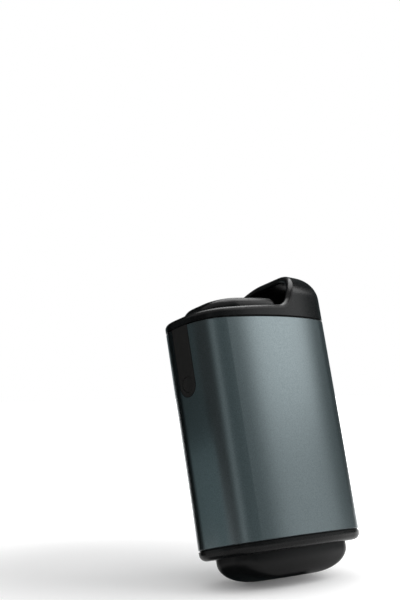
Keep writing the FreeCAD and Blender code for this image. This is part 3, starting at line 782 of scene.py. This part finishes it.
# %% [markdown]
# The head has a cross recess for the driver. It could be modelled face by face, but two crossed bars
# that narrow downward, taken away with a Boolean, meet the dome cleanly by themselves.

# %% Cross recess
RECESS_WIDTH = 0.5 * MM
RECESS_LENGTH = 2.0 * MM
RECESS_DEPTH = 0.8 * MM
RECESS_TAPER = 0.55


def cross_cutter():
    """Two crossed bars that narrow downward, as the tip of a driver does."""
    shape = bmesh.new()
    for long_x, long_y in ((RECESS_LENGTH, RECESS_WIDTH), (RECESS_WIDTH, RECESS_LENGTH)):
        bar = bmesh.ops.create_cube(shape, size=1)["verts"]
        for corner in bar:
            x, y, z = corner.co
            taper = RECESS_TAPER if z < 0 else 1.0
            height = HEAD_HEIGHT + 2 * z * RECESS_DEPTH
            corner.co = Vector((x * long_x * taper, y * long_y * taper, height))
    return shape


def as_object(name, shape):
    """An object of the scene whose faces all look outward."""
    bmesh.ops.recalc_face_normals(shape, faces=shape.faces)
    return mesh_object(name, shape)


def screw_mesh(length):
    blank = as_object("screw_blank", turned(screw_profile(length)))
    cutter = as_object("screw_recess", cross_cutter())
    recess = blank.modifiers.new("recess", "BOOLEAN")
    recess.operation = "DIFFERENCE"
    recess.object = cutter
    recess.use_self = True
    cut = blank.evaluated_get(bpy.context.evaluated_depsgraph_get())
    mesh = bpy.data.meshes.new_from_object(cut)
    bpy.data.objects.remove(blank)
    bpy.data.objects.remove(cutter)
    return mesh


print("cross recess: %.1f mm deep" % (RECESS_DEPTH / MM))

# %% [markdown]
# The frame's own boxes say where the screws go: the places are the corners of a node's box, drawn in
# by the head's radius. Places typed in by hand would be wrong as soon as the construction changes. All
# screws of one kind are one piece, which stands for the plain node of the frame.

# %% Screws in place
SCREW_STEEL = (0.50, 0.50, 0.51)
HEAD_SIDES = {"cap_screws": (0, 0, 1), "base_screws": (0, 0, -1), "board_screws": (-1, 0, 0)}
CREASE = math.radians(40)


def ride_with(piece, finish, body, slot, *replaced):
    """Puts a new piece on its body with a finish and hides the nodes it stands for; slot is not used.
    """
    piece.data.materials.clear()
    piece.data.materials.append(finish.material)
    for face in piece.data.polygons:
        face.use_smooth = True
    piece.data.set_sharp_from_angle(angle=CREASE)
    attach(piece, body)
    if replaced:
        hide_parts(*replaced)
    print("%s: %d faces on %s" % (piece.name, len(piece.data.polygons), body))


def screw_set(node, head_side):
    """All screws of one node, with their heads towards head_side."""
    low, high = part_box(node)
    axis = max(range(3), key=lambda i: abs(head_side[i]))
    length = high[axis] - low[axis] - HEAD_HEIGHT
    seat = high[axis] - HEAD_HEIGHT if head_side[axis] > 0 else low[axis] + HEAD_HEIGHT
    turn = head_side.to_track_quat("Z", "Y").to_matrix().to_4x4()
    choices = []
    for i in range(3):
        ends = {round(low[i] + HEAD_RADIUS, 6), round(high[i] - HEAD_RADIUS, 6)}
        choices.append((seat,) if i == axis else sorted(ends))
    one = screw_mesh(length)
    shape = bmesh.new()
    for place in itertools.product(*choices):
        copy = one.copy()
        copy.transform(Matrix.Translation(place) @ turn)
        shape.from_mesh(copy)
        bpy.data.meshes.remove(copy)
    bpy.data.meshes.remove(one)
    return as_object(node + "_cut", shape)


screw_steel = drawn_metal("screw_steel", SCREW_STEEL, roughness=0.30, stretch=(1, 1, 0.2))
for node, head_side in HEAD_SIDES.items():
    ride_with(screw_set(node, Vector(head_side)), screw_steel, "warmer", "steel", node)

# %% [markdown]
# With the cover open one looks into the charging socket, where twelve gilded contacts lie on each side
# of the tongue. They are thin strips with a rounded mouth end, at the pitch of such sockets. An array
# modifier could repeat them, but a loop keeps their count and pitch in plain sight.

# %% Socket contacts
CONTACT_PITCH = 0.5 * MM
CONTACT_WIDTH = 0.26 * MM
CONTACT_LENGTH = 4.2 * MM
CONTACT_PROUD = 0.04 * MM
CONTACT_COUNT = 12
TONGUE_HALF = 0.35 * MM
TONGUE_DROP = 0.8 * MM
ROUND_STEP = 30
GILT = (0.80, 0.56, 0.22)


def contact_strip(shape, side, y, top, x):
    """One strip on a side of the tongue: a slim plate whose upper end is a half round."""
    radius = CONTACT_WIDTH / 2
    outline = [(-radius, -CONTACT_LENGTH), (radius, -CONTACT_LENGTH)]
    outline += [(radius * math.cos(math.radians(a)), radius * math.sin(math.radians(a)) - radius)
                for a in range(0, 180 + ROUND_STEP, ROUND_STEP)]
    faces = []
    for proud in (0, CONTACT_PROUD):
        faces.append([shape.verts.new((x + side * (TONGUE_HALF + proud), y + across, top + up))
                      for across, up in outline])
    shape.faces.new(faces[1])
    for index in range(len(outline)):
        after = (index + 1) % len(outline)
        shape.faces.new((faces[0][index], faces[0][after], faces[1][after], faces[1][index]))


def socket_contacts():
    low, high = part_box("usb_c_port")
    shape = bmesh.new()
    for side in (-1, 1):
        for index in range(CONTACT_COUNT):
            y = (index - (CONTACT_COUNT - 1) / 2) * CONTACT_PITCH
            contact_strip(shape, side, y, high.z - TONGUE_DROP, (low.x + high.x) / 2)
    return as_object("socket_contacts", shape)


gilt = drawn_metal("gilt", GILT, roughness=0.26, stretch=(1, 1, 0.1))
ride_with(socket_contacts(), gilt, "warmer", "steel")
